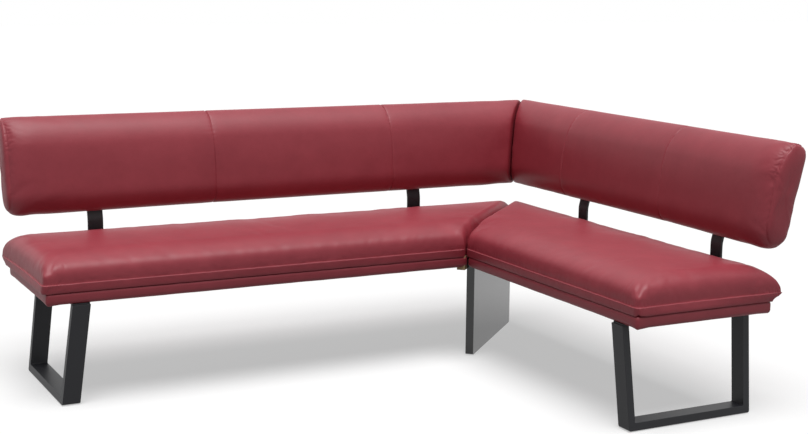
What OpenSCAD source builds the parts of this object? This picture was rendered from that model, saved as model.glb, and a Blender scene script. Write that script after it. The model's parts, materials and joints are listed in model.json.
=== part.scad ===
// Corner bench: two upholstered benches that meet at a mitre, with leaning backrests
// on flat steel struts, two tube sleds under the free ends and a board under the corner.
// Millimetres, +Z up. The origin is on the floor, in the middle of the footprint.
// The long side runs along X and the short side along Y; the corner is at +X, +Y.
// Each side is drawn in its own frame: u runs along the side from the inner corner of
// the seat base to the free end, s runs from the front of the base to the back.

/* [Overall size] */
// Length of the long side, free end to the back of the corner
long_side = 2208; // [1900:1:2600]
// Length of the short side, free end to the back of the corner
short_side = 1717; // [1500:1:2100]
// Height of the seat's crown above the floor
seat_height = 499; // [460:1:540]
// Height of the backrest's top above the floor
back_height = 893; // [850:1:950]

/* [Seat] */
// Depth of the seat base, front to back
seat_depth = 535; // [490:1:570]
// Height of the leather-covered base
base_h = 41; // [36:1:60]
// How far the long side's base stops short of its cushion's tips
long_base_in = 17; // [12:1:30]
// How far the short side's base stops short of its cushion's tips
short_base_in = 8; // [4:1:24]
// Rounding of the base's upright corners
base_r = 14; // [8:1:25]
// Thickness of the base's side padding, and rounding of its long edges
edge_r = 7; // [5:1:12]
// Thickness of the leather with its backing
leather_t = 2; // [1:0.5:3]
// Width of the leather folded under the base
fold_w = 28; // [20:1:40]
// Thickness of the front, back and end rails
rail_t = 22; // [18:1:30]
// Width of a cross rail
cross_w = 60; // [50:1:80]
// Longest clear run between two cross rails
cross_span = 450; // [350:10:600]
// Width of a webbing strap
strap_w = 60; // [40:1:80]
// Distance from one strap to the next
strap_pitch = 84; // [82:1:120]
// Thickness of a strap
strap_t = 1.6; // [1:0.1:1.9]
// Thickness of the lining cloth
lining_t = 1; // [0.5:0.1:2]
// Distance from the lining's edge to the base's edge
lining_in = 12; // [8:1:18]

/* [Seat cushion] */
// Height of the seat cushion, base to crown
cushion_h = 116; // [90:1:130]
// Height of the padded band under the seam
band_h = 23; // [14:1:28]
// How far the padded band bulges past the seam
band_out = 9; // [4:1:10]
// How far the front seam sits behind the front of the base
seam_in = 14; // [10:1:24]
// How far the back seam sits in front of the back of the base
back_seam_in = 12; // [6:1:20]
// How far the seam at the free end sits behind the cushion's corner tips
end_in = 13; // [6:1:20]
// How far the end seam is drawn in between its corners
end_draw = 8; // [0:1:15]
// How far the back corners reach past the drawn-in back seam
ear = 37; // [20:1:55]
// Length of seam over which a back corner is drawn out
ear_len = 210; // [120:5:300]
// Half the gap between two cushions at the mitre
mitre_gap = 2; // [1:0.5:5]
// How far the mitre of the cushions sits off the diagonal, towards the long side
mitre_shift = 9; // [0:1:14]
// Width of the crown's fall at the front
front_fall = 88; // [60:1:120]
// Width of the crown's fall at the back
back_fall = 80; // [60:1:110]
// Width of the crown's fall at the free end
end_fall = 72; // [60:1:120]
// Width of the crown's fall at the mitre
mitre_fall = 36; // [24:1:60]
// Fullness of the crown's edges
fullness = 2.4; // [1.8:0.1:3]
// Fullness of the crown's corners
corner_fullness = 4; // [3:0.5:6]

/* [Backrest] */
// Lean of the backrest from upright, in degrees
lean = 14; // [9:1:18]
// Clear height from the seat's crown to the bend of the struts
back_gap = 66; // [45:1:85]
// Padding in front of the strut line at the bottom of the backrest
back_low = 55; // [45:1:70]
// Padding in front of the strut line at the bulge
back_bulge = 110; // [84:1:120]
// Padding behind the strut line
back_rear = 20; // [18:1:32]
// How much lower the backrest is at its free end
back_pinch = 0.98; // [0.94:0.005:0.99]
// How much thinner the backrest is at its free end
back_thin = 0.78; // [0.7:0.01:1]
// How far the long backrest's free end reaches past the seat cushion's tips
long_over = -5; // [-12:1:15]
// How far the short backrest's free end reaches past the seat cushion's tips
short_over = 9; // [-12:1:20]
// How far the free end of a backrest is domed
back_dome = 15; // [8:1:22]
// How far the mitre of the backrests sits off the diagonal, towards the long side
back_shift = 13; // [0:1:16]
// Free end to the nearest panel seam of the long backrest
long_seam_end = 764; // [600:1:850]
// Free end to the panel seam of the long backrest near the corner
long_seam_corner = 1495; // [1350:1:1560]
// Free end to the nearest panel seam of the short backrest
short_seam_end = 564; // [450:1:700]
// Free end to the panel seam of the short backrest near the corner
short_seam_corner = 1188; // [1020:1:1200]
// Thickness of the board inside a backrest
board_t = 15; // [12:1:18]
// Distance from the board's edge to the backrest's lower and upper edge
board_in = 28; // [24:1:40]
// Distance from the board's end to the backrest's end
board_end = 55; // [45:1:80]

/* [Struts] */
// Width of a strut
strut_w = 55; // [40:1:60]
// Thickness of a strut
strut_t = 8; // [6:0.5:10]
// Inner radius of the strut's bend below the seat
strut_r = 12; // [8:1:20]
// Radius of the strut's bend where it starts to lean
lean_r = 80; // [20:5:120]
// How far below the backrest the strut starts to lean
lean_drop = 42; // [0:1:50]
// Length of the strut's foot under the base
strut_foot = 150; // [120:1:180]
// Length of a strut inside the backrest
strut_in = 200; // [170:1:240]
// Gap between the strut and the back of the base
strut_gap = 1; // [0.5:0.1:3]
// Cushion's tips to the strut near the long side's free end
long_strut = 327; // [280:1:400]
// Cushion's tips to the strut near the short side's free end
short_strut = 306; // [260:1:380]
// How far the corner struts stand past the inner corner
corner_strut = 50; // [40:1:90]

/* [Sled frames] */
// Width of the sled's tube, along the bench
tube_w = 60; // [50:1:70]
// Thickness of the sled's tube, seen from the end
tube_t = 25; // [20:1:30]
// Wall of the sled's tube
tube_wall = 2; // [1.5:0.5:3]
// Outer rounding of the sled's bent corners
tube_r = 7; // [5:1:12]
// How far the sled spreads outwards from its top to the floor
splay = 40; // [0:1:60]
// How far each leg leans in from its top to the floor
leg_lean = 12; // [0:1:30]
// Distance from the back of the base to the back leg's top
sled_back = 30; // [20:1:60]
// Cushion's tips to the outer side of the long side's sled, at its top
long_sled = 102; // [80:1:130]
// Cushion's tips to the outer side of the short side's sled, at its top
short_sled = 83; // [75:1:110]
// Width of the sled's mounting plate
plate_w = 60; // [50:1:70]
// Thickness of the sled's mounting plate
plate_t = 5; // [4:0.5:8]

/* [Corner panel] */
// Thickness of the corner panel
panel_t = 30; // [22:1:36]
// Length of the corner panel, along the diagonal
panel_len = 555; // [520:5:620]
// Distance from the inner corner of the base to the panel's front
panel_front = 20; // [12:1:30]
// How far the panel sits off the diagonal, towards the short side
panel_shift = 6; // [0:1:10]
// How far the panel reaches up between the two seat frames
panel_up = 30; // [24:1:34]
// Rounding of the panel's lower corners
panel_r = 6; // [3:1:15]
// Thickness of the bare wooden cleat
cleat_t = 30; // [24:1:36]
// How far the cleat reaches below the base
cleat_drop = 12; // [5:1:20]

/* [Small parts] */
// Height of a floor glide
glide_h = 3; // [2:0.5:5]
// Diameter of a floor glide
glide_d = 20; // [16:1:22]
// Diameter of the screws in the frames
screw_d = 5; // [4:0.5:6]
// Length of the screws in the frames, under their heads
screw_l = 32; // [25:1:35]
// Diameter of the bolts in the back boards
board_bolt_d = 6; // [5:1:8]
// Diameter of the bolts through the corner panel
panel_bolt_d = 8; // [6:1:10]
// Clearance of a soft piece or a bolt from what is next to it
clear = 0.3; // [0.2:0.05:0.5]

/* [Hidden] */

leather = [0.52, 0.20, 0.24];
metal = [0.17, 0.17, 0.18];
lacquer = [0.22, 0.22, 0.23];
bare_wood = [0.62, 0.50, 0.36];
steel = [0.72, 0.72, 0.74];
cloth = [0.12, 0.12, 0.13];
pad = [0.85, 0.84, 0.80];
small_fn = 24;

// Heights, from the crown of the seat down
base_top = seat_height - cushion_h;
base_z = base_top - base_h;
lining_z = base_z - lining_t;
seam_z = base_top + band_h;
rail_z = base_z + leather_t;
rail_top = base_top - leather_t;
tube_top = lining_z - plate_t;

// Places in a side's own frame
diag = sqrt(2);
strut_s = seat_depth + strut_gap + strut_t / 2;
back_z = seat_height + back_gap;
axis_s = strut_s + lean_drop * tan(lean);
rail_back = seat_depth - edge_r;
sled_back_top = seat_depth - sled_back;

// Distances of the corner's pieces from the mitre plane, square to it
long_face = panel_t / 2 - panel_shift;
short_face = panel_t / 2 + panel_shift;
cleat_face = long_face + cleat_t;
mitre_rail_face = short_face + rail_t;
long_gap = mitre_gap + mitre_shift;
short_gap = mitre_gap - mitre_shift;
long_back_gap = mitre_gap + back_shift;
short_back_gap = mitre_gap - back_shift;

// Backrest outline: how far it goes up the slope, and its front's bulge
top_front = 33;
back_w = (back_height - back_z - top_front * sin(lean)) / cos(lean);

// Control points of the backrest's outline: padding behind the strut line, height up the slope
back_points = [
  [-back_low, -8],
  [-0.82 * back_bulge, 0.085 * back_w],
  [-0.93 * back_bulge, 0.28 * back_w],
  [-back_bulge, 0.58 * back_w],
  [-0.965 * back_bulge, 0.73 * back_w],
  [-0.81 * back_bulge, 0.86 * back_w],
  [-0.55 * back_bulge, 0.965 * back_w],
  [-top_front, back_w],
  [0.05 * back_rear, 0.975 * back_w],
  [0.75 * back_rear, 0.935 * back_w],
  [back_rear, 0.85 * back_w],
  [back_rear, 0.50 * back_w],
  [0.97 * back_rear, 0.18 * back_w],
  [0.65 * back_rear, 0.045 * back_w],
  [-0.5 * back_rear, -8]];
outline_steps = 3;

// A closed curve through points, with n steps from one to the next
function closed_curve(p, n) = [for (i = [0:len(p) - 1], k = [0:n - 1])
  let (m = len(p), a = p[(i + m - 1) % m], b = p[i], c = p[(i + 1) % m], d = p[(i + 2) % m])
  let (t = k / n)
  0.5 * (2 * b + t * (c - a) + t * t * (2 * a - 5 * b + 4 * c - d)
    + t * t * t * (3 * b - a - 3 * c + d))];

back_outline = closed_curve(back_points, outline_steps);

// How far a point of the backrest stands behind the front of the base
function back_s(d, w) = axis_s + d * cos(lean) + w * sin(lean);

back_reach = max([for (p = back_outline) back_s(p[0], p[1])]);
long_end = long_side - back_reach - max(long_over, 0);
short_end = short_side - back_reach - max(short_over, 0);
long_back_end = long_end + long_over;
short_back_end = short_end + short_over;
long_base_end = long_end - long_base_in;
short_base_end = short_end - short_base_in;
corner_x = long_side / 2 - back_reach;
corner_y = short_side / 2 - back_reach;

// Rows of places along each side
long_strut_u = long_end - long_strut;
short_strut_u = short_end - short_strut;
long_plate_u = long_end - long_sled - tube_w / 2;
short_plate_u = short_end - short_sled - tube_w / 2;

function even(a, b, n) = [for (i = [0:n]) a + (b - a) * i / n];
function cross_places(strut_u, plate_u) = concat(
  even(-corner_strut, strut_u, ceil((strut_u + corner_strut) / cross_span)), [plate_u]);

// Screws: place from a foot's front end and pitch, share of the sled's depth, offset on a plate
foot_screw_in = 20;
foot_screw_pitch = 55;
plate_screw_share = 0.17;
plate_screw_out = 16;
plate_in = 4;
plate_r = 8;
foot_screws = [for (k = [0, 1]) strut_s - strut_foot + foot_screw_in + k * foot_screw_pitch];
plate_screws = [for (k = [plate_screw_share, 1 - plate_screw_share]) sled_back_top * k];

// Bolts of the back boards, up the slope, and bolts of the corner, along the diagonal
bolt_low_share = 0.19;
bolt_in = 25;
bolt_clear = 45;
bolt_end_in = 60;
board_bolts_w = [back_w * bolt_low_share, strut_in - bolt_in];
bolt_start = (mitre_rail_face * diag + 2 * corner_strut + cross_w) / diag + bolt_clear;
bolt_end = panel_front + panel_len - bolt_end_in;
bolt_places = even(bolt_start, bolt_end, 2);
bolt_z = (rail_z + base_z + panel_up) / 2;
screw_head_d = 2 * screw_d;
screw_head_h = 0.6 * screw_d;
bolt_head_d = 2 * board_bolt_d;
bolt_head_h = 0.5 * board_bolt_d;
nut_d = 1.9 * panel_bolt_d;
nut_h = 0.8 * panel_bolt_d;
washer_d = 2.4 * panel_bolt_d;
washer_t = 1.6;

module on_long() { translate([corner_x, corner_y, 0]) mirror([1, 0, 0]) children(); }
module on_short() {
  translate([corner_x, corner_y, 0]) mirror([1, -1, 0]) mirror([1, 0, 0]) children();
}
// On the diagonal: x runs from the inner corner to the outer one, y towards the long side
module on_diagonal() { translate([corner_x, corner_y, 0]) rotate([0, 0, 45]) children(); }

// Along the backrest: y square to its face, z up its slope, from its lower edge
module leaning() { translate([0, axis_s, back_z]) rotate([-lean, 0, 0]) children(); }

function arc(c, r, a0, a1, n) = [for (i = [0:n])
  let (a = a0 + (a1 - a0) * i / n) c + r * [cos(a), sin(a)]];

// Plan of a side's base, drawn in by inset all round, cut at a distance from the mitre plane
function base_plan(end, inset, cut) =
  let (f = inset, b = seat_depth - inset, e = end - inset, r = max(base_r - inset, 1))
  concat(
    [[cut * diag - f, f]],
    arc([e - r, f + r], r, -90, 0, 5),
    arc([e - r, b - r], r, 0, 90, 5),
    [[cut * diag - b, b]]);

// Rounded rectangle from low to high
function rounded(low, high, r) = concat(
  arc([low[0] + r, low[1] + r], r, 180, 270, 4),
  arc([high[0] - r, low[1] + r], r, 270, 360, 4),
  arc([high[0] - r, high[1] - r], r, 0, 90, 4),
  arc([low[0] + r, high[1] - r], r, 90, 180, 4));

// Sweeps a profile drawn in s and z along u, and one drawn in u and z along s
module along_u(u0, u1, profile) {
  translate([u0, 0, 0]) rotate([90, 0, 90]) linear_extrude(u1 - u0) polygon(profile);
}
module along_s(s0, s1, profile) {
  translate([0, s1, 0]) rotate([90, 0, 0]) linear_extrude(s1 - s0) polygon(profile);
}

// Section of the base's cover: inset from the outline, and height
cover_section = concat(
  [[base_r, base_top]],
  [for (a = [90:-30:0]) [edge_r - edge_r * cos(a), base_top - edge_r + edge_r * sin(a)]],
  [for (a = [0:30:90]) [edge_r - edge_r * cos(a), base_z + edge_r - edge_r * sin(a)]],
  [[fold_w, base_z], [fold_w, rail_z], [edge_r, rail_z], [edge_r, rail_top], [base_r, rail_top]]);

// Padded leather round the frame, folded over its top and under its bottom, open at the mitre
module base_cover(end, cut) {
  plans = [for (p = cover_section) base_plan(end, p[0], cut + clear)];
  m = len(plans[0]);
  n = len(cover_section);
  polyhedron(
    points = [for (j = [0:m - 1], i = [0:n - 1]) [plans[i][j][0], plans[i][j][1], cover_section[i][1]]],
    faces = concat(
      [for (j = [0:m - 2], i = [0:n - 1]) each [
        [j * n + i, j * n + (i + 1) % n, (j + 1) * n + (i + 1) % n],
        [j * n + i, (j + 1) * n + (i + 1) % n, (j + 1) * n + i]]],
      [[for (i = [n - 1:-1:0]) i], [for (i = [0:n - 1]) (m - 1) * n + i]]),
    convexity = 6);
}

module bar_u(u0, u1, s0, s1) {
  translate([u0, s0, rail_z]) cube([u1 - u0, s1 - s0, rail_top - rail_z]);
}

// Space inside the cover, cut at a distance from the mitre plane
module frame_space(end, cut) {
  translate([0, 0, rail_z]) linear_extrude(rail_top - rail_z) polygon(base_plan(end, edge_r, cut));
}

module front_rail(end, cut) {
  intersection() {
    frame_space(end, cut);
    bar_u(-seat_depth, end, edge_r, edge_r + rail_t);
  }
}

module back_rail(end, cut) {
  intersection() {
    frame_space(end, cut);
    bar_u(-2 * seat_depth, end, rail_back - rail_t, rail_back);
  }
}

module end_rail(end) {
  bar_u(end - edge_r - rail_t, end - edge_r, edge_r + rail_t, rail_back - rail_t);
}

module cross_rails(end, cut, strut_u, plate_u) {
  difference() {
    intersection() {
      union() {
        for (u = cross_places(strut_u, plate_u)) {
          w = u == plate_u ? plate_w : cross_w;
          bar_u(u - w / 2, u + w / 2, edge_r + rail_t, rail_back - rail_t);
        }
      }
      frame_space(end, cut);
    }
    foot_screw_set(strut_u, clear);
    plate_screw_set(plate_u, clear);
  }
}

// Screws of the two strut feet on one side, or their holes when grown by a clearance
module foot_screw_set(strut_u, grow) {
  for (u = [-corner_strut, strut_u], s = foot_screws)
    translate([u, s, lining_z - strut_t]) screw(screw_l + strut_t, grow);
}

// Screws of the sled plate on one side, or their holes when grown by a clearance
module plate_screw_set(plate_u, grow) {
  for (u = [plate_u - plate_screw_out, plate_u + plate_screw_out], s = plate_screws)
    translate([u, s, tube_top]) screw(screw_l, grow);
}

module screw(l, grow) {
  translate([0, 0, -grow]) cylinder(h = l + 2 * grow, r = screw_d / 2 + grow, $fn = small_fn);
  if (grow == 0)
    translate([0, 0, -screw_head_h])
      cylinder(h = screw_head_h, r = screw_head_d / 2, $fn = small_fn);
}

// Straps of elastic webbing from the front rail to the back rail
module webbing(end, cut) {
  inset = base_r + 2;
  first = end - inset - strap_w;
  n = floor((first - inset + strap_w + seat_depth - cut * diag) / strap_pitch);
  translate([0, 0, rail_top]) linear_extrude(strap_t) intersection() {
    polygon(base_plan(end, inset, cut));
    for (k = [0:n]) translate([first - k * strap_pitch, 0]) square([strap_w, seat_depth]);
  }
}

// Cloth under the frame, up to the open bay beside the mitre
module lining(end, cut, strut_u, plate_u) {
  f = lining_in;
  difference() {
    translate([0, 0, lining_z]) linear_extrude(lining_t) polygon([
      [cut * diag - f, f],
      [end - f, f],
      [end - f, seat_depth - f],
      [-corner_strut - cross_w / 2, seat_depth - f],
      [-corner_strut - cross_w / 2, cut * diag + corner_strut + cross_w / 2]]);
    foot_screw_set(strut_u, clear);
    plate_screw_set(plate_u, clear);
  }
}

// Bolt holes through the corner, across the mitre plane
module corner_bores(grow) {
  on_diagonal()
    for (r = bolt_places)
      translate([r, cleat_face + 1, bolt_z]) rotate([90, 0, 0])
        cylinder(h = cleat_face + mitre_rail_face + 2, r = panel_bolt_d / 2 + grow, $fn = small_fn);
}

// Length of a rail along the mitre, so that its square end stays behind the back rail's face
function mitre_rail_len(face) = rail_back * diag - face - panel_front / 2;

module mitre_rail(near, far, z0, z1) {
  difference() {
    on_diagonal()
      translate([-panel_front / 2, min(near, far), z0])
        cube([mitre_rail_len(max(abs(near), abs(far))), abs(far - near), z1 - z0]);
    corner_bores(clear);
  }
}

// Unit stations from 0 to 1, closer together at the start
function eased(n) = [for (i = [0:n]) 1 - cos(90 * i / n)];

fall_steps = 6;
eased_fall = eased(fall_steps);

// Station i of a line from a to b, with a fall of width wa at one end and wb at the other
function station(i, a, b, wa, wb, mid) =
  i <= fall_steps ? a + wa * eased_fall[i]
  : i >= fall_steps + mid ? b - wb * eased_fall[2 * fall_steps + mid - i]
  : a + wa + (b - a - wa - wb) * (i - fall_steps) / mid;

// How far a fall has come at station i: 0 at the line's ends, 1 past the falls
function fallen(i, mid) = i <= fall_steps ? eased_fall[i]
  : i >= fall_steps + mid ? eased_fall[2 * fall_steps + mid - i] : 1;

function pull(d) = pow(max(0, 1 - d / ear_len), 2);
function edge(t, p) = sqrt(1 - pow(1 - t, p));
// The least of several values, rounded where they are nearly equal
function soft_least(v, k) =
  pow(1 - len(v) + [for (x = v) pow(max(x, 0.0001), -k)] * [for (x = v) 1], -1 / k);

seat_back_line = seat_depth - back_seam_in;
cols_mid = 8;
rows_mid = 4;
cols = 2 * fall_steps + cols_mid;
rows = 2 * fall_steps + rows_mid;

// A point of the cushion's plan, at column i and row j, with its outline bulged by out
// and its corners drawn out by the share of the ear
function seat_plan(end, gap, i, j, out, share) =
  let (u_near = station(i, 0, end + seat_depth / 2, mitre_fall * diag, end_fall, cols_mid))
  let (pulled = share * (ear * pull(end + seat_depth / 2 - u_near) + ear / 3 * pull(u_near)))
  let (s0 = seam_in - out - pulled / 12, s1 = seat_back_line + out + pulled)
  let (s = station(j, s0, s1, front_fall, back_fall + pulled, rows_mid))
  let (t = (s - s0) / (s1 - s0))
  let (u0 = gap * diag - s)
  let (tip = share * (end_in * t - end_draw * 4 * t * (1 - t)))
  let (u1 = min(end, end - end_in + tip + out))
  [station(i, u0, u1, mitre_fall * diag, end_fall, cols_mid), s];

// Height of the crown over the seam at column i and row j
function crown(i, j) = (seat_height - seam_z) * soft_least([
  edge(fallen(min(i, cols / 2), cols_mid), fullness),
  edge(fallen(max(i, cols / 2), cols_mid), fullness),
  edge(fallen(min(j, rows / 2), rows_mid), fullness),
  edge(fallen(max(j, rows / 2), rows_mid), fullness)], corner_fullness);

seat_rim = concat(
  [for (i = [0:cols - 1]) [i, 0]], [for (j = [0:rows - 1]) [cols, j]],
  [for (i = [cols:-1:1]) [i, rows]], [for (j = [rows:-1:1]) [0, j]]);

// Rings below the seam: height over the base, bulge and share of the ear
seat_rings = [
  [0.84 * band_h, 0.45 * band_out, 0.9],
  [0.62 * band_h, band_out, 0.5],
  [0.25 * band_h, 0.9 * band_out, 0.1],
  [0.015 * band_h, 0.4 * band_out, 0]];

// A seat cushion: a crowned top sewn to a padded band, flat underneath
module seat_cushion(end, gap) {
  n = len(seat_rim);
  grid = (cols + 1) * (rows + 1);
  function at(i, j) = i * (rows + 1) + j;
  top = [for (i = [0:cols], j = [0:rows])
    let (p = seat_plan(end, gap, i, j, 0, 1)) [p[0], p[1], seam_z + crown(i, j)]];
  skirt = [for (r = seat_rings, e = seat_rim)
    let (p = seat_plan(end, gap, e[0], e[1], r[1], r[2])) [p[0], p[1], base_top + r[0]]];
  centre = [[(end - seat_depth / 2) / 2, seat_depth / 2, base_top + seat_rings[3][0]]];
  rim = [for (e = seat_rim) at(e[0], e[1])];
  function below(r, k) = grid + r * n + k % n;
  polyhedron(points = concat(top, skirt, centre), faces = concat(
    [for (i = [0:cols - 1], j = [0:rows - 1]) each [
      [at(i, j), at(i + 1, j + 1), at(i + 1, j)],
      [at(i, j), at(i, j + 1), at(i + 1, j + 1)]]],
    [for (k = [0:n - 1]) each [
      [rim[k], rim[(k + 1) % n], below(0, k + 1)],
      [rim[k], below(0, k + 1), below(0, k)]]],
    [for (r = [0:len(seat_rings) - 2], k = [0:n - 1]) each [
      [below(r, k), below(r, k + 1), below(r + 1, k + 1)],
      [below(r, k), below(r + 1, k + 1), below(r + 1, k)]]],
    [for (k = [0:n - 1])
      [below(len(seat_rings) - 1, k), below(len(seat_rings) - 1, k + 1),
        grid + n * len(seat_rings)]]), convexity = 4);
}

// A closed skin through rings of equal length, closed at both ends by fans of triangles
module skin(rings) {
  m = len(rings);
  n = len(rings[0]);
  function middle(r) = [for (k = [0:2]) [for (p = r) p[k]] * [for (p = r) 1] / n];
  polyhedron(
    points = concat([for (r = rings) each r], [middle(rings[0]), middle(rings[m - 1])]),
    faces = concat(
      [for (i = [0:m - 2], j = [0:n - 1]) each [
        [i * n + j, i * n + (j + 1) % n, (i + 1) * n + (j + 1) % n],
        [i * n + j, (i + 1) * n + (j + 1) % n, (i + 1) * n + j]]],
      [for (j = [0:n - 1]) [m * n, (j + 1) % n, j]],
      [for (j = [0:n - 1]) [m * n + 1, (m - 1) * n + j, (m - 1) * n + (j + 1) % n]]),
    convexity = 4);
}

// Rings of a backrest: share of the dome and size, distance from the end seam and share
// of its pinch, distance from the mitre and size, distance from a panel seam and size
dome_rings = [[1, 1], [0.68, 0.92], [0.34, 0.77], [0.1, 0.5], [0, 0.2]];
body_rings = [[95, 0], [56, 0.1], [26, 0.35], [8, 0.7]];
mitre_rings = [[0, 0.93], [3, 0.975], [8, 0.995], [24, 1]];
seam_rings = [[-14, 1], [0, 0.988], [14, 1]];
back_core = [-0.35 * back_bulge, 0.48 * back_w];
pinch_core = [back_rear, 0.6 * back_w];

// One ring: place u from the inner corner or distance from the mitre, size and pinch
function back_ring(u, size, share, mitred) = [for (p = back_outline)
  let (thin = 1 - (1 - back_thin) * share, low = 1 - (1 - back_pinch) * share)
  let (c = pinch_core, m = c + [thin * (p[0] - c[0]), low * (p[1] - c[1])])
  let (q = back_core + size * (m - back_core))
  [mitred ? u * diag - back_s(q[0], q[1]) : u, q[0], q[1]]];

// A backrest cushion: domed free end, pinched end seam, panel seams, mitred at the corner
module back_body(end, gap, seams) {
  skin(concat(
    [for (r = mitre_rings) back_ring(gap + r[0], r[1], 0, true)],
    [for (k = seams, r = seam_rings) back_ring(end - k + r[0], r[1], 0, false)],
    [for (r = body_rings) back_ring(end - back_dome - r[0], 1, r[1], false)],
    [for (r = dome_rings) back_ring(end - back_dome * r[0], r[1], 1, false)]));
}

// Outline of the back board in u and height up the slope, grown by a clearance
function board_plan(end, grow) =
  let (w0 = board_in - grow, w1 = back_w - board_in + grow)
  let (near = (board_end - grow) * diag)
  [[near - back_s(0, w0), w0], [end - board_end + grow, w0],
    [end - board_end + grow, w1], [near - back_s(0, w1), w1]];

module board(end, grow) {
  translate([0, -strut_t / 2 + grow, 0]) rotate([90, 0, 0])
    linear_extrude(board_t + 2 * grow) polygon(board_plan(end, grow));
}

// Bolts through a strut into the board, heads behind the strut
module strut_bolts(u, grow) {
  for (w = board_bolts_w)
    translate([u, strut_t / 2, w]) rotate([90, 0, 0]) {
      cylinder(h = strut_t + board_t, r = board_bolt_d / 2 + grow, $fn = small_fn);
      if (grow == 0)
        translate([0, 0, -bolt_head_h]) cylinder(h = bolt_head_h, r = bolt_head_d / 2, $fn = small_fn);
    }
}

module back_cushion(end, gap, seams, strut_u) {
  leaning() difference() {
    back_body(end, gap, seams);
    board(end, clear);
    for (u = [-corner_strut, strut_u])
      translate([u - strut_w / 2 - clear, -strut_t / 2 - clear, -3 * strut_t])
        cube([strut_w + 2 * clear, strut_t + bolt_head_h + 3 * clear,
          strut_in + 3 * strut_t + clear]);
  }
}

module back_board(end, strut_u) {
  leaning() difference() {
    board(end, 0);
    for (u = [-corner_strut, strut_u]) strut_bolts(u, clear);
  }
}

// Side view of a strut: its foot under the base, a bend, the upright, a bend, the lean
module strut(u) {
  t = strut_t;
  ri = strut_r;
  ro = strut_r + t;
  rear = strut_s + t / 2;
  foot_z = lining_z - t;
  bend = [rear + lean_r, back_z - lean_drop - (lean_r + t / 2) * tan(lean / 2)];
  outer = concat(
    [[strut_s - strut_foot, foot_z]],
    arc([rear - ro, foot_z + ro], ro, -90, 0, 6),
    arc(bend, lean_r, 180, 180 - lean, 4),
    [[back_s(t / 2, strut_in), back_z + strut_in * cos(lean) - t / 2 * sin(lean)]]);
  inner = concat(
    [[back_s(-t / 2, strut_in), back_z + strut_in * cos(lean) + t / 2 * sin(lean)]],
    arc(bend, lean_r + t, 180 - lean, 180, 4),
    arc([rear - ro, foot_z + ro], ri, 0, -90, 6),
    [[strut_s - strut_foot, lining_z]]);
  difference() {
    along_u(u - strut_w / 2, u + strut_w / 2, concat(outer, inner));
    for (s = foot_screws)
      translate([u, s, foot_z]) screw(screw_l, clear);
    leaning() strut_bolts(u, clear);
  }
}

// Outline of the sled's loop in s and z, drawn in by inset
function loop_plan(inset, r, top) =
  let (lean_run = leg_lean * (top - glide_h) / (tube_top - glide_h))
  let (slant = atan2(leg_lean, tube_top - glide_h), side = inset / cos(slant))
  let (z0 = glide_h + inset, d = leg_lean * inset / (tube_top - glide_h))
  let (f = leg_lean - d + side, b = sled_back_top - leg_lean + d - side)
  concat(
    [[leg_lean - lean_run + side, top]],
    arc([f + r * (1 - tan(slant)), z0 + r], r, 180 + slant, 270, 5),
    arc([b - r * (1 - tan(slant)), z0 + r], r, 270, 360 - slant, 5),
    [[sled_back_top - leg_lean + lean_run - side, top]]);

// Slanted slab that gives the sled its splay: u and z, drawn in by inset
module splay_slab(plate_u, inset) {
  h = tube_top - glide_h;
  w = tube_w / 2 - inset * sqrt(h * h + splay * splay) / h;
  run = splay / h;
  low = glide_h - 10;
  high = tube_top + 10;
  function shift(z) = plate_u + run * (tube_top - z);
  along_s(-100, seat_depth + 100, [
    [shift(low) - w, low], [shift(low) + w, low],
    [shift(high) + w, high], [shift(high) - w, high]]);
}

// Rectangular tube bent as a loop that is open at the top, where the plate closes it
module sled_frame(plate_u) {
  wide = plate_u + splay + 2 * tube_w;
  intersection() {
    splay_slab(plate_u, 0);
    difference() {
      along_u(plate_u - 2 * tube_w, wide, loop_plan(0, tube_r, tube_top));
      along_u(plate_u - 3 * tube_w, wide + tube_w, loop_plan(tube_t, tube_r / 2, tube_top + 5));
      intersection() {
        splay_slab(plate_u, tube_wall);
        difference() {
          along_u(plate_u - 3 * tube_w, wide, loop_plan(tube_wall, tube_r - tube_wall, tube_top + 5));
          along_u(plate_u - 4 * tube_w, wide + tube_w,
            loop_plan(tube_t - tube_wall, tube_r / 2 + tube_wall, tube_top + 9));
        }
      }
    }
  }
}

module sled_plate(plate_u) {
  difference() {
    translate([0, 0, tube_top]) linear_extrude(plate_t)
      polygon(rounded([plate_u - plate_w / 2, plate_in],
        [plate_u + plate_w / 2, sled_back_top - plate_in], plate_r));
    plate_screw_set(plate_u, clear);
  }
}

module sled_glides(plate_u) {
  u = plate_u + splay;
  for (s = [leg_lean + 2 * tube_t, sled_back_top - leg_lean - 2 * tube_t])
    translate([u, s, 0]) glide();
}

module glide() { cylinder(h = glide_h, r = glide_d / 2, $fn = 32); }

module long_seat_cushion() { color(leather) on_long() seat_cushion(long_end, long_gap); }
module short_seat_cushion() { color(leather) on_short() seat_cushion(short_end, short_gap); }
module long_base_cover() { color(leather) on_long() base_cover(long_base_end, long_face); }
module short_base_cover() { color(leather) on_short() base_cover(short_base_end, short_face); }

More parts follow.
